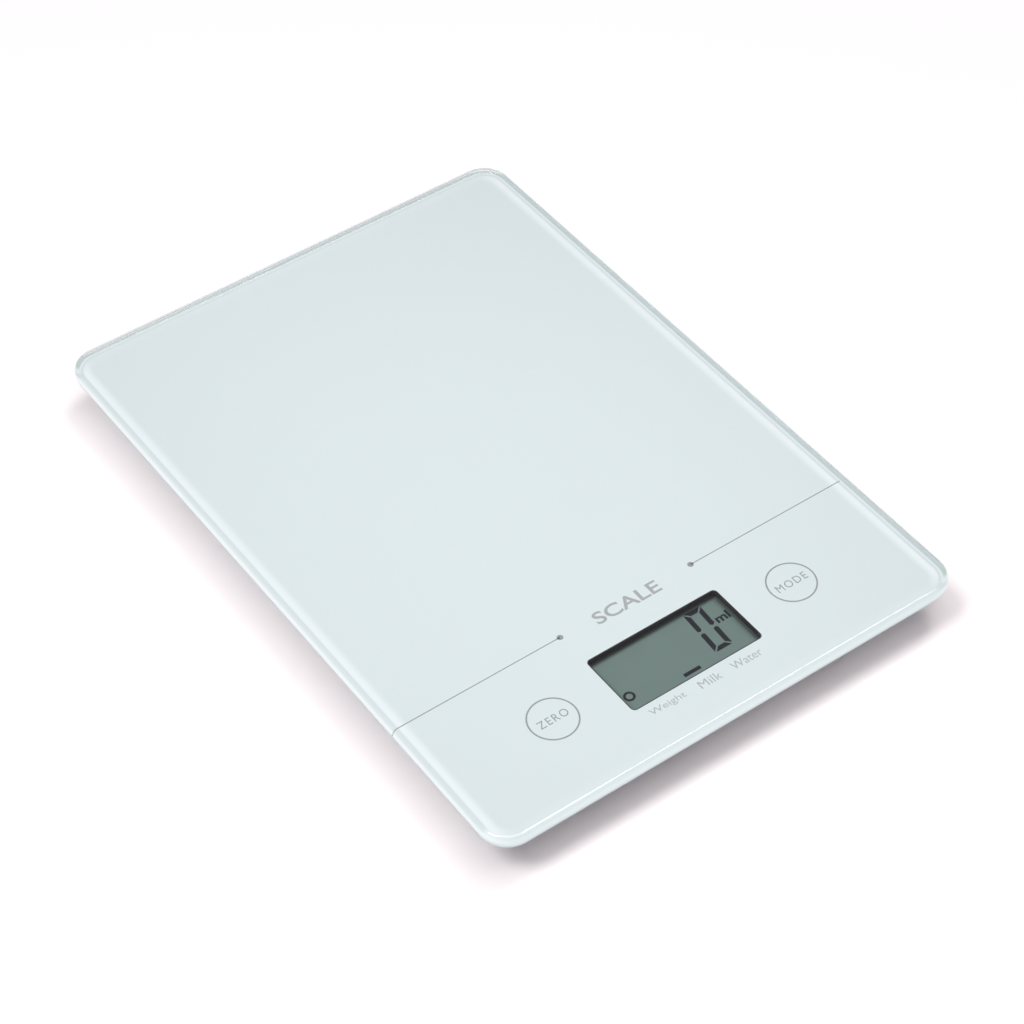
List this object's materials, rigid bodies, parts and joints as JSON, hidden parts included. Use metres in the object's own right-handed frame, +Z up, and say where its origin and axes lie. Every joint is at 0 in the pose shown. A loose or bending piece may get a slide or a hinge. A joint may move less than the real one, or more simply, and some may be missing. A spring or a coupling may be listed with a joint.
{
  "type": "kitchen scale",
  "caption": "Slim glass-topped electronic kitchen scale: printed touch keys, display window, shallow housing and load-sensing feet.",
  "frame": {"origin": "middle of the scale's outline, on the surface that its feet stand on", "axes": "+X to the user's right, +Y away from the user (the display is at -Y), +Z up"},
  "size_m": [0.16, 0.23, 0.018],
  "materials": {
    "tempered_glass": "polished, pale paint behind",
    "foam_tape": "foam",
    "white_abs": "fine moulded texture",
    "black_abs": "moulded",
    "grey_abs": "fine moulded texture",
    "white_pom": "moulded",
    "zinc_screw": "zinc plated",
    "sensor_steel": "nickel plated",
    "gauge_silicone": "cured bead",
    "foot_rubber": "moulded",
    "lcd_glass": "polariser, satin",
    "reflector_foil": "satin",
    "zebra_rubber": "layered",
    "board_laminate": "solder mask",
    "chip_epoxy": "potted",
    "chip_ceramic": "ceramic body",
    "spring_steel": "tin plated",
    "cell_steel": "satin",
    "nickel_strip": "nickel plated",
    "wire_sleeve": "extruded"
  },
  "bodies": {
    "housing": {"glass_platform": "tempered_glass", "bonding_tape": "foam_tape", "top_frame": "white_abs", "base_cover": "white_abs", "housing_screws": "zinc_screw", "board_screws": "zinc_screw", "holder_screws": "zinc_screw", "sensor_screws": "zinc_screw", "lcd_panel": "lcd_glass", "lcd_reflector": "reflector_foil", "lcd_holder": "black_abs", "zebra_strip": "zebra_rubber", "circuit_board": "board_laminate", "chip_coating": "chip_epoxy", "board_components": "chip_ceramic", "touch_spring_zero": "spring_steel", "touch_spring_mode": "spring_steel", "unit_switch": "black_abs", "coin_cell": "cell_steel", "battery_contact_positive": "nickel_strip", "battery_contact_negative": "nickel_strip", "battery_wires": "wire_sleeve", "load_sensor_front_left": "sensor_steel", "gauge_coating_front_left": "gauge_silicone", "sensor_wires_front_left": "wire_sleeve", "load_sensor_front_right": "sensor_steel", "gauge_coating_front_right": "gauge_silicone", "sensor_wires_front_right": "wire_sleeve", "load_sensor_back_left": "sensor_steel", "gauge_coating_back_left": "gauge_silicone", "sensor_wires_back_left": "wire_sleeve", "load_sensor_back_right": "sensor_steel", "gauge_coating_back_right": "gauge_silicone", "sensor_wires_back_right": "wire_sleeve"},
    "foot_front_left": {"foot_pad_front_left": "foot_rubber", "foot_post_front_left": "white_pom"},
    "foot_front_right": {"foot_pad_front_right": "foot_rubber", "foot_post_front_right": "white_pom"},
    "foot_back_left": {"foot_pad_back_left": "foot_rubber", "foot_post_back_left": "white_pom"},
    "foot_back_right": {"foot_pad_back_right": "foot_rubber", "foot_post_back_right": "white_pom"},
    "battery_cap": {"battery_cap": "grey_abs"},
    "unit_button": {"unit_button": "grey_abs", "switch_stem": "black_abs"}
  },
  "joints": [
    {"name": "foot_front_left_press", "type": "slide", "parent": "housing", "child": "foot_front_left", "axis": [0, 0, 1], "range_m": [0, 0.00035], "stiffness_N_per_m": 60, "deforming": ["load_sensor_front_left"]},
    {"name": "foot_front_right_press", "type": "slide", "parent": "housing", "child": "foot_front_right", "axis": [0, 0, 1], "range_m": [0, 0.00035], "stiffness_N_per_m": 60, "deforming": ["load_sensor_front_right"]},
    {"name": "foot_back_left_press", "type": "slide", "parent": "housing", "child": "foot_back_left", "axis": [0, 0, 1], "range_m": [0, 0.00035], "stiffness_N_per_m": 60, "deforming": ["load_sensor_back_left"]},
    {"name": "foot_back_right_press", "type": "slide", "parent": "housing", "child": "foot_back_right", "axis": [0, 0, 1], "range_m": [0, 0.00035], "stiffness_N_per_m": 60, "deforming": ["load_sensor_back_right"]},
    {"name": "battery_cap_turn", "type": "hinge", "parent": "housing", "child": "battery_cap", "pos_m": [0, 0.024, 0.0026], "axis": [0, 0, -1], "range_deg": [0, 50]},
    {"name": "unit_button_press", "type": "slide", "parent": "housing", "child": "unit_button", "axis": [0, 0, 1], "range_m": [0, 0.0003], "stiffness_N_per_m": 5}
  ]
}
